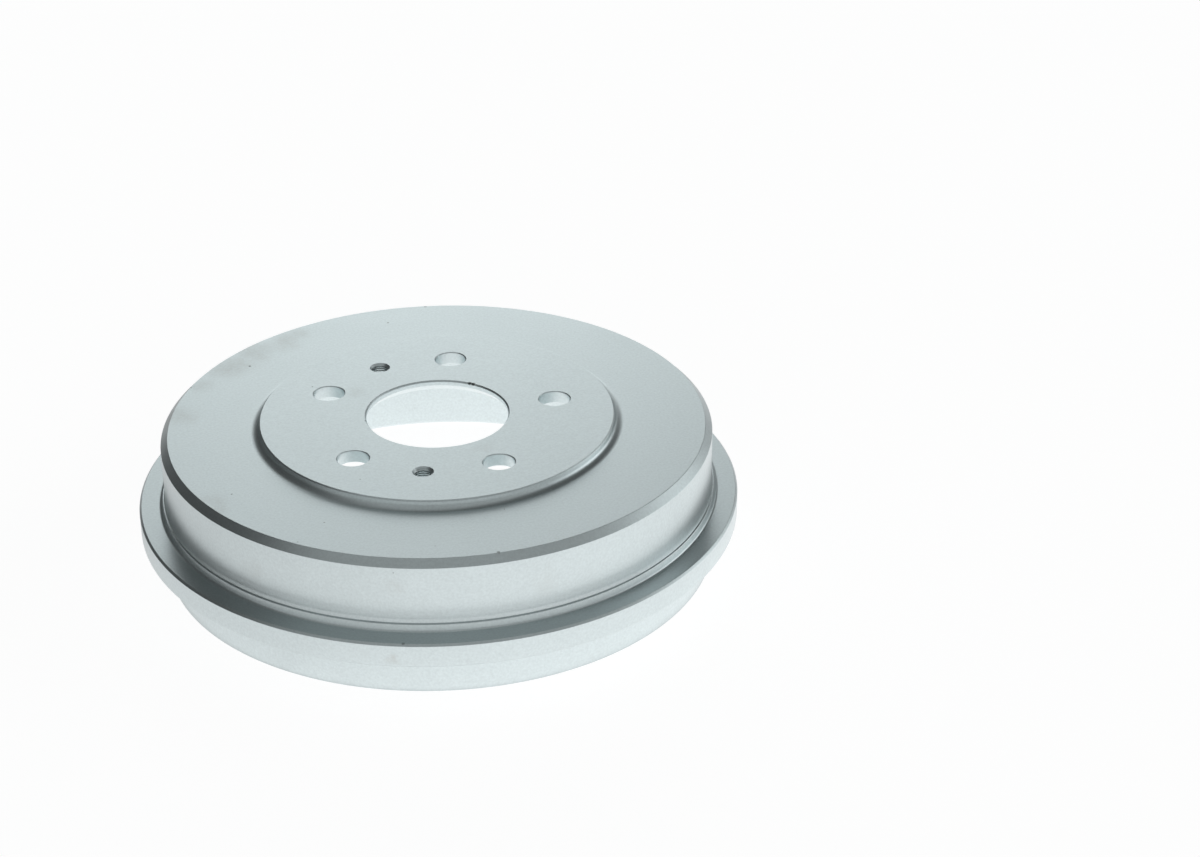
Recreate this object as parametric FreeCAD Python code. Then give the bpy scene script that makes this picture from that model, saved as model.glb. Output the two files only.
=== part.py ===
import FreeCAD, Part
import math
import os

# Brake drum for a five-stud passenger-car hub: one grey-iron casting, turned all over.
# All sizes are in millimetres. The drum's axis is Z. The open rim lies in the plane z = 0,
# and the pad that the road wheel bolts against is at the top. The first stud hole is on +X.

# Overall sizes
drum_height = 66.0           # from the open rim to the wheel pad
flange_diameter = 270.0      # the stiffening flange, the widest place
barrel_diameter = 246.4      # turned outer wall above the flange
rim_diameter = 248.4         # turned outer wall below the flange

# Friction surface, where the brake shoes press
friction_diameter = 228.6    # 9 inch nominal, new
friction_depth = 51.2        # from the open rim to the ledge at its inner end
mouth_bevel = 1.6            # lead-in at the open end
runout_groove_depth = 0.5    # groove that lets the boring tool and the grinding wheel run out
runout_groove_width = 0.9

# Closed end
web_thickness = 7.7          # the flat ring between the wheel pad and the barrel
face_bevel = 3.1             # bevel on the outer edge of the closed end
ledge_width = 2.7            # left uncut between the friction surface and the cast corner
corner_run = 4.6             # cast slope from the ledge up to the inside of the closed end
corner_blend = 6.0

# Wheel pad and hub seat
pad_diameter = 159.4
pad_step = 3.7               # how far the pad stands proud of the closed end
pad_skirt_rise = 2.3         # sloped foot of the step, left by the facing tool
pad_skirt_run = 2.8
pad_edge_break = 0.5
pad_wall = 6.0               # thickness left at the pad
seat_diameter = 145.2        # flat inside the pad that rests on the hub
seat_taper = 2.4             # the seat's cast wall leans out by this much to its mouth

# Hub bore, stud holes and jacking holes
bore_diameter = 63.6
bore_edge_break = 0.6
stud_circle_diameter = 108.0
stud_hole_count = 5
stud_hole_diameter = 14.9
stud_hole_edge_break = 0.4
jack_thread_bore = 7.0       # drilled for an M8 thread of 1 mm pitch
jack_sink = 1.2              # countersink on the wheel side
jack_hole_places = (1.5, 3.5)   # counted in stud-hole pitches from +X, so midway between studs

# Flange and the cast roots beside it
flange_height = 18.8         # from the open rim to the flange's lower face
flange_thickness = 11.2
flange_edge_break = 0.9
rim_edge_break = 0.3
root_height = 2.8            # cast ring left between the flange and each turned wall
root_slope = 1.4             # sloped foot of the cast ring, up and out alike
rim_root_ledge = 1.3         # step from the lower turned wall out to the cast ring
barrel_root_ledge = 1.7      # step from the upper turned wall out to the cast ring
wall_foot_height = 3.4       # last stretch of each turned wall, where the tool is drawn off
wall_foot_flare = 0.5        # how far the wall flares out over it

AXIS = FreeCAD.Vector(0, 0, 1)
CENTRE = FreeCAD.Vector(0, 0, 0)
CUT_MARGIN = 1.0             # how far a cutting tool runs past the surface it opens


def unit(start, end):
    """Direction from one point of the outline to another."""
    return (end - start).normalize()


def rounded_outline(corners):
    """Closed wire in the XZ plane through (radius, height, rounding) corners.

    A rounding above zero turns the corner into a tangent arc of that radius, limited so
    that it takes less than half of the shorter side beside it.
    """
    points = [FreeCAD.Vector(radius, 0, height) for radius, height, rounding in corners]
    edges = []
    joins = []
    for index, (radius, height, rounding) in enumerate(corners):
        here = points[index]
        before = points[index - 1]
        after = points[(index + 1) % len(points)]
        if rounding <= 0:
            joins.append((here, here, None))
            continue
        back = unit(here, before)
        ahead = unit(here, after)
        half_angle = back.getAngle(ahead) / 2
        shorter_side = min(here.distanceToPoint(before), here.distanceToPoint(after))
        reach = min(rounding / math.tan(half_angle), 0.49 * shorter_side)
        arc_radius = reach * math.tan(half_angle)
        bisector = (back + ahead).normalize()
        to_arc = arc_radius / math.sin(half_angle) - arc_radius
        joins.append((here + back * reach, here + ahead * reach, here + bisector * to_arc))
    for index, (start, end, middle) in enumerate(joins):
        if middle is not None:
            edges.append(Part.Arc(start, middle, end).toShape())
        next_start = joins[(index + 1) % len(joins)][0]
        edges.append(Part.LineSegment(end, next_start).toShape())
    return Part.Wire(edges)


def outside_corners():
    """Outer side of the section, from the open rim up to the wheel pad."""
    rim_radius = rim_diameter / 2
    barrel_radius = barrel_diameter / 2
    flange_radius = flange_diameter / 2
    flange_top = flange_height + flange_thickness
    rim_root = rim_radius + rim_root_ledge
    barrel_root = barrel_radius + barrel_root_ledge
    rim_ledge_height = flange_height - root_height
    barrel_ledge_height = flange_top + root_height
    web_top = drum_height - pad_step
    pad_radius = pad_diameter / 2
    return [
        (rim_radius - rim_edge_break, 0, 0),
        (rim_radius, rim_edge_break, 0),
        (rim_radius, rim_ledge_height - wall_foot_height, 0),
        (rim_radius + wall_foot_flare, rim_ledge_height, 0),
        (rim_root, rim_ledge_height, 0),
        (rim_root, flange_height - root_slope, 0),
        (rim_root + root_slope, flange_height, 0),
        (flange_radius - flange_edge_break, flange_height, 0),
        (flange_radius, flange_height + flange_edge_break, 0),
        (flange_radius, flange_top - flange_edge_break, 0),
        (flange_radius - flange_edge_break, flange_top, 0),
        (barrel_root + root_slope, flange_top, 0),
        (barrel_root, flange_top + root_slope, 0),
        (barrel_root, barrel_ledge_height, 0),
        (barrel_radius + wall_foot_flare, barrel_ledge_height, 0),
        (barrel_radius, barrel_ledge_height + wall_foot_height, 0),
        (barrel_radius, web_top - face_bevel, 0),
        (barrel_radius - face_bevel, web_top, 0),
        (pad_radius + pad_skirt_run, web_top, 0),
        (pad_radius, web_top + pad_skirt_rise, 0),
        (pad_radius, drum_height - pad_edge_break, 0),
        (pad_radius - pad_edge_break, drum_height, 0),
    ]


def inside_corners():
    """Inner side of the section, from the hub bore down to the open rim."""
    bore_radius = bore_diameter / 2
    seat_radius = seat_diameter / 2
    seat_height = drum_height - pad_wall
    web_underside = drum_height - pad_step - web_thickness
    friction_radius = friction_diameter / 2
    groove_radius = friction_radius + runout_groove_depth
    ledge_radius = friction_radius - ledge_width
    groove_start = friction_depth - runout_groove_width
    return [
        (bore_radius + bore_edge_break, drum_height, 0),
        (bore_radius, drum_height - bore_edge_break, 0),
        (bore_radius, seat_height + bore_edge_break, 0),
        (bore_radius + bore_edge_break, seat_height, 0),
        (seat_radius, seat_height, 0),
        (seat_radius + seat_taper, web_underside, 0),
        (ledge_radius - corner_run, web_underside, corner_blend),
        (ledge_radius, friction_depth, 0),
        (groove_radius, friction_depth, 0),
        (groove_radius, groove_start, 0),
        (friction_radius, groove_start - runout_groove_depth, 0),
        (friction_radius, mouth_bevel, 0),
        (friction_radius + mouth_bevel, 0, 0),
    ]


def casting():
    """The turned casting before any hole beside the bore is drilled."""
    section = Part.Face(rounded_outline(outside_corners() + inside_corners()))
    turned = section.revolve(CENTRE, AXIS, 360)
    turned.rotate(CENTRE, AXIS, 180 / stud_hole_count)   # seam midway between two stud holes
    return turned


def drill(hole_radius, wheel_sink, hub_sink):
    """Cutter for a hole through the pad, with a 45 degree sink of its own depth at each face."""
    seat_height = drum_height - pad_wall
    low = seat_height - CUT_MARGIN
    high = drum_height + CUT_MARGIN
    outline = [
        (0, low),
        (hole_radius + hub_sink + CUT_MARGIN, low),
        (hole_radius, seat_height + hub_sink),
        (hole_radius, drum_height - wheel_sink),
        (hole_radius + wheel_sink + CUT_MARGIN, high),
        (0, high),
    ]
    if hub_sink == 0:
        outline[1] = (hole_radius, low)
    points = [FreeCAD.Vector(radius, 0, height) for radius, height in outline]
    section = Part.Face(Part.makePolygon(points + points[:1]))
    return section.revolve(CENTRE, AXIS, 360)


def on_stud_circle(cutter, pitches):
    """A copy of the cutter on the stud circle, a number of stud-hole pitches round from +X."""
    placed = cutter.copy()
    placed.translate(FreeCAD.Vector(stud_circle_diameter / 2, 0, 0))
    placed.rotate(CENTRE, AXIS, pitches * 360 / stud_hole_count)
    return placed


def brake_drum():
    """The finished drum: one solid."""
    stud_drill = drill(stud_hole_diameter / 2, stud_hole_edge_break, stud_hole_edge_break)
    jack_drill = drill(jack_thread_bore / 2, jack_sink, 0)
    cutters = [on_stud_circle(stud_drill, place) for place in range(stud_hole_count)]
    cutters += [on_stud_circle(jack_drill, place) for place in jack_hole_places]
    return casting().cut(cutters)


os.makedirs("parts", exist_ok=True)
brake_drum().exportStep("parts/brake_drum.step")
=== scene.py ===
import math

import bpy
from mathutils import Matrix, Vector


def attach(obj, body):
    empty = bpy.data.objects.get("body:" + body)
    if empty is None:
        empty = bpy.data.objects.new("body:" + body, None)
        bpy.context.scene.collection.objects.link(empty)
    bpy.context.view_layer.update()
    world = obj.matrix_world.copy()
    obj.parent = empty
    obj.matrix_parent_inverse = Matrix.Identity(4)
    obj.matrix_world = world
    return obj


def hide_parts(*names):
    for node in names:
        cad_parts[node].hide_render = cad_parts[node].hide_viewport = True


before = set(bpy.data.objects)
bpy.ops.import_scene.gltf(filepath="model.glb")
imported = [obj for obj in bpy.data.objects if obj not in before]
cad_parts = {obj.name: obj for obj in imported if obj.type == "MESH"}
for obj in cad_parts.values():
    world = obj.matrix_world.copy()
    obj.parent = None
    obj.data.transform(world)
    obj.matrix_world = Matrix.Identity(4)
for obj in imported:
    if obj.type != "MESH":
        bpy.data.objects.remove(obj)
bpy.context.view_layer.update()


# The drum: one grey-iron casting, turned on a lathe from the open rim to the wheel pad. Its
# section is drawn as the turner's drawing has it, in millimetres, with the nose radius that the
# tool leaves in each inner corner and the fillets of the cast rings beside the flange.

MM = 0.001
drum_height = 66.0
flange_radius = 135.0
barrel_radius = 123.2
rim_radius = 124.2
friction_radius = 114.3
friction_depth = 51.2
mouth_bevel = 1.6
runout_groove_depth = 0.5
runout_groove_width = 0.9
web_thickness = 7.7
face_bevel = 3.1
ledge_width = 2.7
corner_run = 4.6
corner_blend = 6.0
pad_radius = 79.7
pad_step = 3.7
pad_edge_break = 0.5
pad_edge_run_in = 0.26       # how far the pad's wall leans in at its edge, and out at its foot
pad_cove_rise = 1.3          # the facing tool leaves a cove of this rise and run at the foot
pad_cove_run = 2.4
pad_cove_rounding = 5.0
pad_wall = 6.0
seat_radius = 72.6
seat_taper = 2.4
seat_fillet = 1.0
seat_mouth_rounding = 0.8
bore_radius = 31.8
bore_edge_break = 0.6
bore_lead_in = 3.6           # wide bevel on the hub's side of the bore
flange_height = 18.8
flange_thickness = 11.2
flange_edge_break = 0.9
rim_edge_break = 0.3
root_height = 3.25
root_fillet = 1.1
root_lean = 0.45             # draft of the cast rings, each way about their middle
rim_root_ledge = 1.3
barrel_root_ledge = 1.7
wall_foot_height = 4.0       # the last stretch of each turned wall, where the tool is drawn off
wall_foot_flare = 0.45       # how far the wall flares out over it
foot_bend_height = 1.6       # where the flare steepens, counted from the cast ring
foot_bend_share = 1 / 3      # how much of the flare is reached there
foot_sweep = 30.0            # roundings where the flare starts and where it steepens
foot_bend = 6.0
tool_nose = 0.3
crisp = 0.15                 # the rounding that the coat leaves on a machined edge
cast_edge = 0.35
stud_hole_count = 5
stud_circle_radius = 54.0
stud_hole_radius = 7.05
stud_hole_sink = 0.35        # edge break on the wheel's side, then on the hub's side
stud_hole_hub_sink = 0.4
jack_hole_place = math.radians(108)   # round from the first stud hole, midway between two more
jack_drill_radius = 3.46
jack_sink = 1.24
jack_hub_sink = 0.3
thread_radius = 4.0          # at the root of the groove
thread_pitch = 1.0
thread_turns = 8.0
groove_mouth_share = 0.435   # half the groove's width at its mouth and at its root, in pitches
groove_root_share = 0.0625
groove_overlap = 0.12        # how far the groove's cutter starts inside the drilled hole
steps_round = 300            # flats round the casting, round a hole and in a turn of thread
hole_sides = 64
steps_per_turn = 48
sharp_angle = math.radians(24)


def outer_corners():
    """Corners of the section from the open rim up to the pad: radius, height, rounding."""
    flange_top = flange_height + flange_thickness
    rim_root = rim_radius + rim_root_ledge
    rim_ledge = flange_height - root_height
    barrel_root = barrel_radius + barrel_root_ledge
    barrel_ledge = flange_top + root_height
    web_top = drum_height - pad_step
    bend_flare = wall_foot_flare * foot_bend_share
    return [
        (rim_radius - rim_edge_break, 0, crisp),
        (rim_radius, rim_edge_break, crisp),
        (rim_radius, rim_ledge - wall_foot_height, foot_sweep),
        (rim_radius + bend_flare, rim_ledge - foot_bend_height, foot_bend),
        (rim_radius + wall_foot_flare, rim_ledge, tool_nose),
        (rim_root - root_lean, rim_ledge, cast_edge),
        (rim_root + root_lean, flange_height, root_fillet),
        (flange_radius - flange_edge_break, flange_height, crisp),
        (flange_radius, flange_height + flange_edge_break, crisp),
        (flange_radius, flange_top - flange_edge_break, crisp),
        (flange_radius - flange_edge_break, flange_top, crisp),
        (barrel_root + root_lean, flange_top, root_fillet),
        (barrel_root - root_lean, barrel_ledge, cast_edge),
        (barrel_radius + wall_foot_flare, barrel_ledge, tool_nose),
        (barrel_radius + bend_flare, barrel_ledge + foot_bend_height, foot_bend),
        (barrel_radius, barrel_ledge + wall_foot_height, foot_sweep),
        (barrel_radius, web_top - face_bevel, crisp),
        (barrel_radius - face_bevel, web_top, crisp),
        (pad_radius + pad_cove_run, web_top, pad_cove_rounding),
        (pad_radius + pad_edge_run_in, web_top + pad_cove_rise, pad_cove_rounding),
        (pad_radius - pad_edge_run_in, drum_height - pad_edge_break, crisp),
        (pad_radius - pad_edge_run_in - pad_edge_break, drum_height, crisp),
    ]


def inner_corners():
    """Corners of the section from the hub bore down to the open rim."""
    seat_height = drum_height - pad_wall
    web_underside = drum_height - pad_step - web_thickness
    groove_radius = friction_radius + runout_groove_depth
    groove_start = friction_depth - runout_groove_width
    ledge_radius = friction_radius - ledge_width
    return [
        (bore_radius + bore_edge_break, drum_height, crisp),
        (bore_radius, drum_height - bore_edge_break, crisp),
        (bore_radius, seat_height + bore_lead_in, crisp),
        (bore_radius + bore_lead_in, seat_height, crisp),
        (seat_radius, seat_height, seat_fillet),
        (seat_radius + seat_taper, web_underside, seat_mouth_rounding),
        (ledge_radius - corner_run, web_underside, corner_blend),
        (ledge_radius, friction_depth, cast_edge),
        (groove_radius, friction_depth, crisp),
        (groove_radius, groove_start, crisp),
        (friction_radius, groove_start - runout_groove_depth, crisp),
        (friction_radius, mouth_bevel, crisp),
        (friction_radius + mouth_bevel, 0, crisp),
    ]


def turned_section(corners):
    """Points of the section in metres, with each rounding as an arc.

    A point just outside each end of an arc holds the flat beside it flat in the shading.
    """
    arc_step = math.radians(15)
    fewest_steps = 2
    most_reach = 0.45
    most_holding = 0.25
    least_holding = 0.04
    holding_share = 0.2
    nearly_half = 0.48
    places = [Vector((radius, height)) for radius, height, rounding in corners]
    section = []
    for index, (radius, height, rounding) in enumerate(corners):
        here = places[index]
        to_last = places[index - 1] - here
        to_next = places[(index + 1) % len(places)] - here
        half = to_last.angle(to_next) / 2
        shorter = min(to_last.length, to_next.length)
        reach = min(rounding / math.tan(half), most_reach * shorter)
        arc_radius = reach * math.tan(half)
        back = to_last.normalized()
        ahead = to_next.normalized()
        centre = here + (back + ahead).normalized() * (arc_radius / math.sin(half))
        start = here + back * reach - centre
        turn = math.pi - 2 * half
        if start.y * back.x - start.x * back.y < 0:
            turn = -turn
        steps = max(fewest_steps, math.ceil(abs(turn) / arc_step))
        arc = []
        for step in range(steps + 1):
            angle = turn * step / steps
            arc.append(centre + Vector((
                start.x * math.cos(angle) - start.y * math.sin(angle),
                start.x * math.sin(angle) + start.y * math.cos(angle))))
        room_before = nearly_half * to_last.length - reach
        room_after = nearly_half * to_next.length - reach
        before = min(most_holding, holding_share * to_last.length, room_before)
        after = min(most_holding, holding_share * to_next.length, room_after)
        if before > least_holding:
            section.append(here + back * (reach + before))
        section += arc
        if after > least_holding:
            section.append(here + ahead * (reach + after))
    return [(point.x * MM, point.y * MM, 0) for point in section]


def add_node(tree, kind, label, inputs=None, **settings):
    """A node of the tree, with a label that says what it is for and its own settings.

    Each of its inputs that is given, by name or place, is joined to another node's output
    or takes a plain value.
    """
    made = tree.nodes.new(kind)
    made.label = label
    for name, value in settings.items():
        setattr(made, name, value)
    for name, source in (inputs or {}).items():
        if isinstance(source, bpy.types.NodeSocket):
            tree.links.new(source, made.inputs[name])
        else:
            made.inputs[name].default_value = source
    return made


def maths(tree, label, operation, *terms, **settings):
    """What a Math node makes of its terms, which are numbers or other nodes' outputs."""
    made = add_node(tree, "ShaderNodeMath", label, dict(enumerate(terms)),
                    operation=operation, **settings)
    return made.outputs["Value"]


def combined(tree, label, **axes):
    """The vector that has the numbers or outputs given for X, Y and Z."""
    return add_node(tree, "ShaderNodeCombineXYZ", label, axes).outputs["Vector"]


def size_input(tree, name, value, kind="NodeSocketFloat"):
    """Add a named input to the tree, with its usual value where its kind can have one."""
    made = tree.interface.new_socket(name, in_out="INPUT", socket_type=kind)
    if kind != "NodeSocketGeometry":
        made.default_value = value


def drilled_hole_tree():
    """Cutter for a drilled hole with a 45 degree sink at each face, standing on its own centre."""
    tree = bpy.data.node_groups.new("drilled_hole", "GeometryNodeTree")
    size_input(tree, "Radius", stud_hole_radius * MM)
    size_input(tree, "Wheel Side Sink", stud_hole_sink * MM)
    size_input(tree, "Hub Side Sink", stud_hole_hub_sink * MM)
    size_input(tree, "Wall", pad_wall * MM)
    size_input(tree, "Sides", hole_sides, "NodeSocketInt")
    tree.interface.new_socket("Cutter", in_out="OUTPUT", socket_type="NodeSocketGeometry")
    sizes = add_node(tree, "NodeGroupInput", "sizes").outputs
    overrun = 1.0 * MM

    drill = add_node(tree, "GeometryNodeMeshCylinder", "drill", {
        "Vertices": sizes["Sides"],
        "Radius": sizes["Radius"],
        "Depth": maths(tree, "drill length", "ADD", sizes["Wall"], 2 * overrun)})
    parts = add_node(tree, "GeometryNodeMeshBoolean", "drill and sinks",
                     {"Mesh 2": drill.outputs["Mesh"]}, operation="UNION", solver="MANIFOLD")
    half_wall = maths(tree, "half the wall", "MULTIPLY", sizes["Wall"], 0.5)
    ends = (("Wheel Side Sink", True, "Radius Top", "Radius Bottom"),
            ("Hub Side Sink", False, "Radius Bottom", "Radius Top"))
    for side, upper, broad_end, narrow_end in ends:
        depth = maths(tree, "sink depth", "ADD", sizes[side], overrun)
        cone = add_node(tree, "GeometryNodeMeshCone", side, {
            "Vertices": sizes["Sides"],
            "Depth": depth,
            broad_end: maths(tree, "sink radius", "ADD", sizes["Radius"], depth),
            narrow_end: sizes["Radius"]})
        foot = maths(tree, "foot of the sink", "SUBTRACT", half_wall, sizes[side])
        if not upper:
            below = maths(tree, "below", "ADD", foot, depth)
            foot = maths(tree, "down", "MULTIPLY", below, -1)
        moved = add_node(tree, "GeometryNodeTransform", "sink in place", {
            "Geometry": cone.outputs["Mesh"], "Translation": combined(tree, "lift", Z=foot)})
        tree.links.new(moved.outputs["Geometry"], parts.inputs["Mesh 2"])
    add_node(tree, "NodeGroupOutput", "cutter", {"Cutter": parts.outputs["Mesh"]})
    return tree


def thread_groove_tree():
    """Cutter for the groove of a tapped thread: a trapezium swept along a helix."""
    tree = bpy.data.node_groups.new("thread_groove", "GeometryNodeTree")
    size_input(tree, "Pitch", thread_pitch * MM)
    size_input(tree, "Outer Radius", thread_radius * MM)
    size_input(tree, "Drilled Radius", jack_drill_radius * MM)
    size_input(tree, "Turns", thread_turns)
    tree.interface.new_socket("Cutter", in_out="OUTPUT", socket_type="NodeSocketGeometry")
    sizes = add_node(tree, "NodeGroupInput", "thread sizes").outputs

    length = maths(tree, "length of the thread", "MULTIPLY", sizes["Pitch"], sizes["Turns"])
    helix = add_node(tree, "GeometryNodeCurveSpiral", "helix", {
        "Resolution": steps_per_turn,
        "Rotations": sizes["Turns"],
        "Start Radius": sizes["Drilled Radius"],
        "End Radius": sizes["Drilled Radius"],
        "Height": length,
        "Reverse": True})    # so that the thread is right-handed
    upright = add_node(tree, "GeometryNodeSetCurveNormal", "keep the groove upright",
                       {"Curve": helix.outputs["Curve"]}, mode="Z_UP")

    depth = maths(tree, "groove depth", "SUBTRACT", sizes["Outer Radius"], sizes["Drilled Radius"])
    corners = {}
    for name, reach, share in (("Point 1", -groove_overlap * MM, -groove_mouth_share),
                               ("Point 2", depth, -groove_root_share),
                               ("Point 3", depth, groove_root_share),
                               ("Point 4", -groove_overlap * MM, groove_mouth_share)):
        across = maths(tree, "share of the pitch", "MULTIPLY", sizes["Pitch"], share)
        corners[name] = combined(tree, "corner", X=reach, Y=across)
    outline = add_node(tree, "GeometryNodeCurvePrimitiveQuadrilateral", "groove outline",
                       corners, mode="POINTS")
    swept = add_node(tree, "GeometryNodeCurveToMesh", "swept groove", {
        "Curve": upright.outputs["Curve"],
        "Profile Curve": outline.outputs["Curve"],
        "Fill Caps": True})
    sunk = maths(tree, "half the length down", "MULTIPLY", length, -0.5)
    moved = add_node(tree, "GeometryNodeTransform", "about the middle", {
        "Geometry": swept.outputs["Mesh"], "Translation": combined(tree, "lift", Z=sunk)})
    add_node(tree, "NodeGroupOutput", "cutter", {"Cutter": moved.outputs["Geometry"]})
    return tree


def turned_drum_tree(drilled_hole, thread_groove):
    """The section swept round the axis, then the stud and tapped holes cut through the pad."""
    tree = bpy.data.node_groups.new("turned_drum", "GeometryNodeTree")
    size_input(tree, "Section", None, "NodeSocketGeometry")
    size_input(tree, "Steps Round", steps_round, "NodeSocketInt")
    size_input(tree, "Stud Holes", stud_hole_count, "NodeSocketInt")
    size_input(tree, "Stud Circle Radius", stud_circle_radius * MM)
    size_input(tree, "Stud Hole Radius", stud_hole_radius * MM)
    size_input(tree, "Jack Hole Place", jack_hole_place)
    size_input(tree, "Pad Middle Height", (drum_height - pad_wall / 2) * MM)
    size_input(tree, "Sharp Angle", sharp_angle)
    size_input(tree, "Coat", None, "NodeSocketMaterial")
    tree.interface.new_socket("Drum", in_out="OUTPUT", socket_type="NodeSocketGeometry")
    sizes = add_node(tree, "NodeGroupInput", "drum sizes").outputs

    # the sweep: a circle of the flange's size carries the section, moved in by that radius
    path_radius = flange_radius * MM
    path = add_node(tree, "GeometryNodeCurvePrimitiveCircle", "round the axis", {
        "Resolution": sizes["Steps Round"], "Radius": path_radius})
    upright = add_node(tree, "GeometryNodeSetCurveNormal", "keep the section upright",
                       {"Curve": path.outputs["Curve"]}, mode="Z_UP")
    section = add_node(tree, "GeometryNodeMeshToCurve", "section", {"Mesh": sizes["Section"]})
    offset = add_node(tree, "GeometryNodeTransform", "section on the circle", {
        "Geometry": section.outputs["Curve"],
        "Translation": (-path_radius, 0, 0),
        "Rotation": (math.pi, 0, 0)})
    swept = add_node(tree, "GeometryNodeCurveToMesh", "turned casting", {
        "Curve": upright.outputs["Curve"], "Profile Curve": offset.outputs["Geometry"]})
    outward = add_node(tree, "GeometryNodeFlipFaces", "faces outward",
                       {"Mesh": swept.outputs["Mesh"]})

    # the stud holes: one cutter on each point of the stud circle
    circle = add_node(tree, "GeometryNodeMeshCircle", "stud circle", {
        "Vertices": sizes["Stud Holes"], "Radius": sizes["Stud Circle Radius"]})
    stud_drill = add_node(tree, "GeometryNodeGroup", "stud hole",
                          {"Radius": sizes["Stud Hole Radius"]}, node_tree=drilled_hole)
    studs = add_node(tree, "GeometryNodeInstanceOnPoints", "stud holes", {
        "Points": circle.outputs["Mesh"], "Instance": stud_drill.outputs["Cutter"]})

    # the tapped holes: drilled, sunk on the wheel side and threaded
    jack_drill = add_node(tree, "GeometryNodeGroup", "jack hole drill", {
        "Radius": jack_drill_radius * MM,
        "Wheel Side Sink": jack_sink * MM,
        "Hub Side Sink": jack_hub_sink * MM}, node_tree=drilled_hole)
    groove = add_node(tree, "GeometryNodeGroup", "jack hole thread", node_tree=thread_groove)
    places = []
    for side in (1, -1):
        turn = maths(tree, "angle", "MULTIPLY", sizes["Jack Hole Place"], side)
        cosine = maths(tree, "share across", "COSINE", turn)
        sine = maths(tree, "share along", "SINE", turn)
        places.append(combined(
            tree, "place on the stud circle",
            X=maths(tree, "across", "MULTIPLY", cosine, sizes["Stud Circle Radius"]),
            Y=maths(tree, "along", "MULTIPLY", sine, sizes["Stud Circle Radius"])))
    both_places = add_node(tree, "GeometryNodeMeshLine", "both jack holes", {
        "Count": len(places), "Start Location": places[0], "Offset": places[1]},
        mode="END_POINTS")

    # the tap entered the two holes half a turn apart
    which = add_node(tree, "GeometryNodeInputIndex", "which hole").outputs["Index"]
    started = maths(tree, "where the thread starts", "MULTIPLY_ADD", which, -math.pi, math.pi)
    tap_turn = combined(tree, "turn of the tap", Z=started)
    cutters = [studs]
    for source in (jack_drill, groove):
        cutters.append(add_node(tree, "GeometryNodeInstanceOnPoints", "jack holes", {
            "Points": both_places.outputs["Mesh"],
            "Instance": source.outputs["Cutter"],
            "Rotation": tap_turn}))
    cut = add_node(tree, "GeometryNodeMeshBoolean", "drilled and tapped",
                   {"Mesh 1": outward.outputs["Mesh"]}, operation="DIFFERENCE", solver="MANIFOLD")
    lift = combined(tree, "pad height", Z=sizes["Pad Middle Height"])
    for cutter in cutters:
        real = add_node(tree, "GeometryNodeRealizeInstances", "real cutters",
                        {"Geometry": cutter.outputs["Instances"]})
        moved = add_node(tree, "GeometryNodeTransform", "at the pad", {
            "Geometry": real.outputs["Geometry"], "Translation": lift})
        tree.links.new(moved.outputs["Geometry"], cut.inputs["Mesh 2"])

    # smooth all over, with a sharp edge wherever two faces meet at more than the sharp angle
    angle = add_node(tree, "GeometryNodeInputMeshEdgeAngle", "edge angle")
    gentle = add_node(tree, "FunctionNodeCompare", "gentle", {
        "A": angle.outputs["Unsigned Angle"], "B": sizes["Sharp Angle"]},
        data_type="FLOAT", operation="LESS_THAN")
    smooth_faces = add_node(tree, "GeometryNodeSetShadeSmooth", "smooth faces",
                            {"Geometry": cut.outputs["Mesh"]}, domain="FACE")
    smooth_edges = add_node(tree, "GeometryNodeSetShadeSmooth", "sharp edges", {
        "Geometry": smooth_faces.outputs["Geometry"],
        "Shade Smooth": gentle.outputs["Result"]}, domain="EDGE")
    real = add_node(tree, "GeometryNodeRealizeInstances", "one mesh",
                    {"Geometry": smooth_edges.outputs["Geometry"]})
    coated = add_node(tree, "GeometryNodeSetMaterial", "coat", {
        "Geometry": real.outputs["Geometry"], "Material": sizes["Coat"]})
    add_node(tree, "NodeGroupOutput", "drum", {"Drum": coated.outputs["Geometry"]})
    return tree


# The coat on it: a thin, even, satin zinc-flake coat, baked on. It has a fine flaky grain, shows
# the turning under it very faintly, and has picked up a few rub marks, specks and small nicks.
# Shade deep in the thread's grooves is painted into its colour.

coat_colour = (0.668, 0.738, 0.748, 1)
groove_shade_colour = (0.24, 0.26, 0.265, 1)      # painted shade, darker deep in the thread's groove
rub_colour = (0.52, 0.505, 0.47, 1)
speck_colour = (0.05, 0.055, 0.05, 1)
coat_metal = 0.86
coat_dullness = 0.29          # roughness, then what the clouds and a rub mark add to it
cloud_dullness = 0.08
rub_dullness = 0.2
grain_noise = (900, 4)        # of each noise: scale, steps of detail and, where given, roughness
cloud_noise = (34, 5, 0.6)
turning_noise = (650, 3)
patch_noise = (420, 5, 0.65)
turning_drift = 0.003         # how much the turning lines change round the axis
darkest_tone = 0.94           # least share of the coat's colour, which the clouds add to
cloud_tone = 0.12
grain_tone = 0.26
turning_tone = 0.03
rub_softness = 0.9            # the soft part of a mark's half width
speck_softness = 0.6
rub_edge = (70, 14)           # scale of the noise that makes a mark ragged, and its reach
speck_edge = (900, 0.9)
patch_range = (0.2, 0.7)      # of the patches' noise: a rub mark fades in between the two
relief_height = 0.04
relief_strength = 0.35
turning_relief = 0.6          # against the grain's relief
groove_shade_from = 3.6               # radii between which the painted shade in the thread's groove comes in
groove_shade_to = 3.85
tapped_within = 4.1           # the thread lies inside this radius and under this height
tapped_below = 64.7
face_top = drum_height - pad_step
pad_top = drum_height
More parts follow.
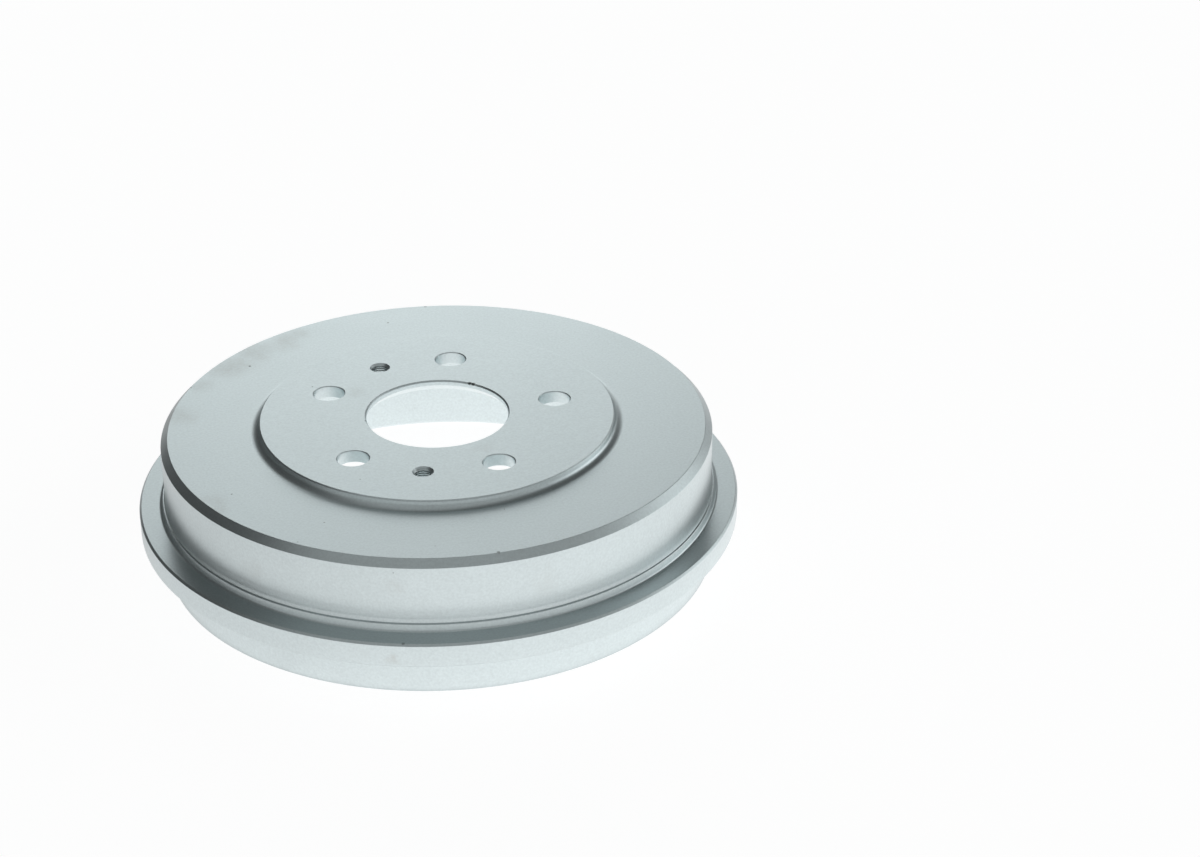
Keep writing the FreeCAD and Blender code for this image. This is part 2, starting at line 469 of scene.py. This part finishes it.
# each mark: where it is and half its width, in millimetres, and how strong it is
rub_marks = (
    (-82, 78, face_top, 16, 0.32), (-70, 90, face_top, 15, 0.3), (-113, 35, face_top, 12, 0.28),
    (-54, 97, face_top, 13, 0.28), (-46, 104, face_top, 10, 0.25), (-106, -47, face_top, 8, 0.25),
    (-105, -54, face_top, 7, 0.22), (-98, 62, face_top, 10, 0.22), (-31, 30, pad_top, 8, 0.15),
    (11, -38, pad_top, 6, 0.15), (-46.2, -126.9, 21, 4, 0.6), (-42.1, -115.8, 50, 6, 0.15),
    (-95, -78.5, 44, 9, 0.15), (20, -121.6, 46, 9, 0.12),
)
specks = (
    (-74, 76, face_top, 0.7, 0.8), (-103, 61, face_top, 0.6, 0.7), (-3, 105, face_top, 0.6, 0.7),
    (-98, -43, face_top, 0.5, 0.8), (-77, -90, face_top, 0.5, 0.5), (-64, -77, face_top, 0.5, 0.7),
    (-23, -108, face_top, 0.5, 0.3), (18, 118, face_top, 1.0, 0.4), (1, -119.5, face_top, 1.0, 0.6),
    (-50, 40, pad_top, 0.5, 0.7), (-44, -51, pad_top, 0.5, 0.7),
    (20.2, 25.1, pad_top, 1.3, 0.9), (21.6, 23.9, pad_top, 1.3, 0.9),
    (-32.2, 1.1, pad_top, 0.8, 0.6), (-41.4, -127.4, 30, 1.0, 0.45),
    (-42.1, -115.8, 57, 0.6, 0.35), (11.2, -85.8, face_top, 0.5, 0.5),
)


def vector_maths(tree, label, operation, *terms):
    """What a Vector Math node makes of its terms: a number where it measures, else a vector."""
    made = add_node(tree, "ShaderNodeVectorMath", label, dict(enumerate(terms)),
                    operation=operation)
    measures = operation in ("LENGTH", "DISTANCE", "DOT_PRODUCT")
    return made.outputs["Value" if measures else "Vector"]


def ranged(tree, label, value, start, stop, least=0.0, most=1.0, **settings):
    """How far the value is on its way from start to stop, from least to most."""
    made = add_node(tree, "ShaderNodeMapRange", label, {
        "Value": value, "From Min": start, "From Max": stop, "To Min": least, "To Max": most},
        **settings)
    return made.outputs["Result"]


def noise(tree, label, place, scale, detail, roughness=0.5):
    """A noise node at the place. Its level wanders about a half."""
    return add_node(tree, "ShaderNodeTexNoise", label, {
        "Vector": place, "Scale": scale, "Detail": detail, "Roughness": roughness})


def mixed(tree, label, share, under, over, data_type="RGBA"):
    """One colour or number that gives way to another by the share."""
    made = add_node(tree, "ShaderNodeMix", label, {"Factor": share, "A": under, "B": over},
                    data_type=data_type)
    return made.outputs["Result"]


def marks_share(tree, place, marks, softness):
    """How much of the coat a group of round marks hides, from 0 to 1.

    Softness is the share of a mark's half width over which it fades out.
    """
    share = 0.0
    for across, along, up, half_width, strength in marks:
        gap = vector_maths(tree, "distance to the mark", "DISTANCE", place,
                           (across * MM, along * MM, up * MM))
        spot = ranged(tree, "mark", gap, half_width * MM, half_width * (1 - softness) * MM,
                      most=strength, interpolation_type="SMOOTHSTEP")
        share = maths(tree, "all marks", "MAXIMUM", share, spot)
    return share


def ragged_place(tree, place, scale, reach):
    """The place, pushed about by a noise, so that a round mark about it turns ragged."""
    detail = 3
    middle = 0.5 * reach * MM
    pushing = noise(tree, "ragged edges", place, scale, detail)
    push = vector_maths(tree, "push", "MULTIPLY_ADD", pushing.outputs["Color"],
                        (reach * MM, reach * MM, reach * MM), place)
    return vector_maths(tree, "back to the middle", "SUBTRACT", push, (middle, middle, middle))


def groove_share(tree, across, along, up):
    """How far a point lies deep in the groove of either jacking hole's thread, from 0 to 1: where
    shade is painted.
    """
    hole_across = stud_circle_radius * math.cos(jack_hole_place) * MM
    hole_along = stud_circle_radius * math.sin(jack_hole_place) * MM
    beside = combined(tree, "place beside the hole", X=across,
                      Y=maths(tree, "either hole", "ABSOLUTE", along))
    off_axis = vector_maths(tree, "distance off its axis", "DISTANCE", beside,
                            (hole_across, hole_along, 0))
    deep = ranged(tree, "depth in the groove", off_axis, groove_shade_from * MM, groove_shade_to * MM)
    within = maths(tree, "in the hole", "LESS_THAN", off_axis, tapped_within * MM)
    beneath = maths(tree, "under the sink", "LESS_THAN", up, tapped_below * MM)
    tapped = maths(tree, "where it is tapped", "MULTIPLY", within, beneath)
    return maths(tree, "in the groove", "MULTIPLY", deep, tapped)


def zinc_flake_coat():
    """The coat's material, patterned by the place on the drum."""
    coat = bpy.data.materials.new("zinc_flake_coat")
    coat.use_nodes = True
    tree = coat.node_tree
    shader = tree.nodes["Principled BSDF"]
    shader.inputs["Metallic"].default_value = coat_metal
    place = add_node(tree, "ShaderNodeTexCoord", "place on the drum").outputs["Object"]
    apart = add_node(tree, "ShaderNodeSeparateXYZ", "across, along, up", {"Vector": place})
    across = apart.outputs["X"]
    along = apart.outputs["Y"]
    up = apart.outputs["Z"]

    # the grain of the flakes, and broad clouds where the coat lies thicker
    grain = noise(tree, "flaky grain", place, *grain_noise).outputs["Fac"]
    clouds = noise(tree, "clouds", place, *cloud_noise).outputs["Fac"]

    # the turning under the coat: the same at every angle round the axis, but for slow changes
    flat = combined(tree, "flat place", X=across, Y=along)
    angle = maths(tree, "angle round the axis", "ARCTAN2", along, across)
    rings = combined(tree, "place in the turning",
                     X=vector_maths(tree, "radius", "LENGTH", flat),
                     Y=maths(tree, "slow change", "MULTIPLY", angle, turning_drift),
                     Z=up)
    turning = noise(tree, "turning lines", rings, *turning_noise).outputs["Fac"]

    # colour: the coat a little lighter and darker, then rub marks and specks over it, and painted
    # shade deep in the thread grooves
    tone = maths(tree, "clouds in the colour", "MULTIPLY_ADD", clouds, cloud_tone, darkest_tone)
    for level, amount in ((grain, grain_tone), (turning, turning_tone)):
        more = maths(tree, "more of it", "MULTIPLY_ADD", level, amount, tone)
        tone = maths(tree, "about its middle", "SUBTRACT", more, 0.5 * amount)
    plain = add_node(tree, "ShaderNodeVectorMath", "coat colour",
                     {"Vector": coat_colour[:3], "Scale": tone}, operation="SCALE")
    rubbed = marks_share(tree, ragged_place(tree, place, *rub_edge), rub_marks, rub_softness)
    patches = noise(tree, "patches in a rub mark", place, *patch_noise)
    left_on = ranged(tree, "where it stayed", patches.outputs["Fac"], *patch_range)
    broken = maths(tree, "broken up", "MULTIPLY", rubbed, left_on)
    speckled = marks_share(tree, ragged_place(tree, place, *speck_edge), specks, speck_softness)
    # painted shade deep in the thread's grooves
    groove_shade_share = groove_share(tree, across, along, up)
    colour = plain.outputs["Vector"]
    for label, share, over in (("rub marks", broken, rub_colour),
                               ("specks", speckled, speck_colour),
                               ("painted shade in the thread grooves", groove_shade_share, groove_shade_colour)):
        colour = mixed(tree, label, share, colour, over)
    tree.links.new(colour, shader.inputs["Base Color"])

    # gloss: duller in the rub marks, and uneven with the clouds
    gloss = maths(tree, "uneven gloss", "MULTIPLY_ADD", clouds, cloud_dullness, coat_dullness)
    duller = maths(tree, "duller where rubbed", "MULTIPLY_ADD", broken, rub_dullness, gloss)
    tree.links.new(duller, shader.inputs["Roughness"])

    # relief: the grain and the turning lines, a few hundredths of a millimetre high
    relief = add_node(tree, "ShaderNodeBump", "grain and turning", {
        "Strength": relief_strength,
        "Distance": relief_height * MM,
        "Height": maths(tree, "relief", "MULTIPLY_ADD", turning, turning_relief, grain)})
    tree.links.new(relief.outputs["Normal"], shader.inputs["Normal"])
    return coat


coat = zinc_flake_coat()
section_points = turned_section(outer_corners() + inner_corners())
section_mesh = bpy.data.meshes.new("drum_section")
section_edges = [(i, (i + 1) % len(section_points)) for i in range(len(section_points))]
section_mesh.from_pydata(section_points, section_edges, [])
turning = bpy.data.objects.new("drum_turning", section_mesh)
bpy.context.scene.collection.objects.link(turning)
drum_tree = turned_drum_tree(drilled_hole_tree(), thread_groove_tree())
lathe = turning.modifiers.new("lathe", "NODES")
lathe.node_group = drum_tree
sockets = {item.name: item.identifier for item in drum_tree.interface.items_tree
           if item.in_out == "INPUT"}
lathe[sockets["Coat"]] = coat
lathe[sockets["Stud Hole Radius"]] = stud_hole_radius * MM
turned = turning.evaluated_get(bpy.context.evaluated_depsgraph_get())
drum_mesh = bpy.data.meshes.new_from_object(turned)
turning.modifiers.remove(lathe)
bpy.data.objects.remove(turning)
drum = bpy.data.objects.new("drum", drum_mesh)
bpy.context.scene.collection.objects.link(drum)
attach(drum, "root")
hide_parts("brake_drum")


# The floor under the drum: a plain pale table, lit so evenly that it reads as white. Metal sees
# a pool of light on it, brightest close to the drum and on the side where the lamps stand.

floor_half = 3.0
board_colour = (0.8, 0.8, 0.8, 1)
plain_white = (1, 1, 1, 1)
seen_glow = 1.22              # what the eye sees of the board: this much glow,
seen_share = 0.76             # mixed by this share with the board's own light and shade
inside_glow = 1.34            # what metal sees of it inside the drum
pool_glow = 1.06              # what metal sees of it all round the drum, at the rim
lamp_side_glow = 0.26         # added to that on the lamps' side and taken away on the other
lamp_azimuth = math.radians(-60)
pool_fall = -0.22             # power of the distance at which the pool fades
at_rim = 1.0                  # distances from the axis, in rim radii: the rim itself,
shade_edge = 1.02             # and where the shade under the flange ends
shade_share = 0.75            # how much of the pool's light is left in that shade, at the rim
floor_mesh = bpy.data.meshes.new("floor")
floor_mesh.from_pydata(
    [(-floor_half, -floor_half, 0), (floor_half, -floor_half, 0),
     (floor_half, floor_half, 0), (-floor_half, floor_half, 0)], [], [(0, 1, 2, 3)])
floor = bpy.data.objects.new("floor", floor_mesh)
bpy.context.scene.collection.objects.link(floor)
pale_table = bpy.data.materials.new("pale_table")
pale_table.use_nodes = True
table = pale_table.node_tree
table.nodes.clear()
place = add_node(table, "ShaderNodeTexCoord", "place on the table").outputs["Object"]
in_rims = maths(table, "distance in rim radii", "DIVIDE",
                vector_maths(table, "distance from the drum", "LENGTH", place), rim_radius * MM)
lamp_side = vector_maths(table, "towards the lamps", "DOT_PRODUCT",
                         vector_maths(table, "direction from the drum", "NORMALIZE", place),
                         (math.cos(lamp_azimuth), math.sin(lamp_azimuth), 0))
round_about = maths(table, "more on the lamps' side", "MULTIPLY_ADD",
                    lamp_side, lamp_side_glow, pool_glow)
falling = maths(table, "less far away", "POWER", in_rims, pool_fall)
lamp_pool = maths(table, "pool of lamp light", "MULTIPLY", round_about, falling)
shade = ranged(table, "shade under the flange", in_rims, at_rim, shade_edge, least=shade_share)
outside = maths(table, "pool less the shade", "MULTIPLY", lamp_pool, shade)
past_rim = maths(table, "past the rim", "GREATER_THAN", in_rims, at_rim)
pool = mixed(table, "bright inside the drum", past_rim, inside_glow, outside, "FLOAT")
watcher = add_node(table, "ShaderNodeLightPath", "what looks at it").outputs
level = mixed(table, "white to the eye, a pool to metal", watcher["Is Camera Ray"],
              pool, seen_glow, "FLOAT")
glow_share = maths(table, "share of glow", "MULTIPLY_ADD",
                   watcher["Is Camera Ray"], seen_share, watcher["Is Glossy Ray"])
board = add_node(table, "ShaderNodeBsdfDiffuse", "pale board", {"Color": board_colour})
glow = add_node(table, "ShaderNodeEmission", "white where it is seen", {
    "Color": plain_white, "Strength": level})
both = add_node(table, "ShaderNodeMixShader", "table", {
    "Fac": glow_share, 1: board.outputs["BSDF"], 2: glow.outputs["Emission"]})
add_node(table, "ShaderNodeOutputMaterial", "surface", {"Surface": both.outputs["Shader"]})
floor.data.materials.append(pale_table)


# The light: a plain studio of soft grey light. A long soft box stands low behind the drum and a
# weaker one to the right. Drapes behind to the left, and over the back, keep those parts dark.

def towards(azimuth, elevation):
    """Unit vector for a direction given in degrees."""
    flat = math.cos(math.radians(elevation))
    return (flat * math.cos(math.radians(azimuth)), flat * math.sin(math.radians(azimuth)),
            math.sin(math.radians(elevation)))


room_grey = 0.36
room_tint = (0.965, 1.0, 1.003, 1)
darkest = 0.04
front_azimuth = -100          # the camera's side, where the room is paler towards the horizon
front_light = 0.7
front_narrowness = 12
# each: direction it stands in, how narrow its light is, and how much it adds or takes away
panels = {
    "low soft box behind": (towards(79, 15), 20.0, 1.63),
    "soft box behind on the right": (towards(8, 16), 12.0, 1.4),
    "drape behind on the left": (towards(140, 19), 7.0, -1.6),
    "drape over the back": (towards(38, 42), 11.0, -1.6),
}
world = bpy.data.worlds.new("studio")
bpy.context.scene.world = world
world.use_nodes = True
studio = world.node_tree
studio.nodes.clear()
direction = add_node(studio, "ShaderNodeTexCoord", "direction").outputs["Generated"]
height = add_node(studio, "ShaderNodeSeparateXYZ", "how high it looks",
                  {"Vector": direction}).outputs["Z"]
low = maths(studio, "how low", "SUBTRACT", 1, height, use_clamp=True)
skyline = maths(studio, "paler towards the horizon", "POWER", low, front_narrowness)
ahead = vector_maths(studio, "towards the front", "DOT_PRODUCT",
                     direction, towards(front_azimuth, 0))
in_front = maths(studio, "only in front", "MULTIPLY", ahead, skyline, use_clamp=True)
light = maths(studio, "grey of the room", "MULTIPLY_ADD", in_front, front_light, room_grey)
for name, (axis, narrow, strength) in panels.items():
    facing = vector_maths(studio, name, "DOT_PRODUCT", direction, axis)
    front = maths(studio, "front half only", "MAXIMUM", facing, 0)
    soft = maths(studio, "soft edge", "POWER", front, narrow)
    light = maths(studio, "added light", "MULTIPLY_ADD", soft, strength, light)
lit = maths(studio, "no less than dark", "MAXIMUM", light, darkest)
room = add_node(studio, "ShaderNodeBackground", "room", {"Color": room_tint, "Strength": lit})
white = add_node(studio, "ShaderNodeBackground", "white behind the drum", {"Color": plain_white})
looks = add_node(studio, "ShaderNodeLightPath", "what looks")
either = add_node(studio, "ShaderNodeMixShader", "room or white", {
    "Fac": looks.outputs["Is Camera Ray"],
    1: room.outputs["Background"],
    2: white.outputs["Background"]})
add_node(studio, "ShaderNodeOutputWorld", "all round", {"Surface": either.outputs["Shader"]})


# The camera: a metre out from the drum's axis and 0.6 m above the table, looking down at 28
# degrees.

camera_distance = 1.0195
camera_height = 0.60095
camera_azimuth = math.radians(-100.5)
camera_yaw = math.radians(4.096)      # the view points this far right of the drum's axis
camera_pitch = math.radians(28.111)
camera_roll = math.radians(-0.265)
film_width = 36.0                     # millimetres, as is the lens
camera_lens = 76.977
heading = camera_azimuth + math.pi - camera_yaw
forward = Vector((
    math.cos(heading) * math.cos(camera_pitch),
    math.sin(heading) * math.cos(camera_pitch),
    -math.sin(camera_pitch)))
level_right = forward.cross(Vector((0, 0, 1))).normalized()
level_up = level_right.cross(forward)
right = math.cos(camera_roll) * level_right + math.sin(camera_roll) * level_up
up = math.cos(camera_roll) * level_up - math.sin(camera_roll) * level_right
camera_data = bpy.data.cameras.new("camera")
camera_data.sensor_width = film_width
camera_data.lens = camera_lens
camera = bpy.data.objects.new("camera", camera_data)
camera.matrix_world = Matrix((
    (right.x, up.x, -forward.x, camera_distance * math.cos(camera_azimuth)),
    (right.y, up.y, -forward.y, camera_distance * math.sin(camera_azimuth)),
    (right.z, up.z, -forward.z, camera_height),
    (0, 0, 0, 1)))
bpy.context.scene.collection.objects.link(camera)
bpy.context.scene.camera = camera
bpy.context.scene.view_settings.view_transform = "Standard"
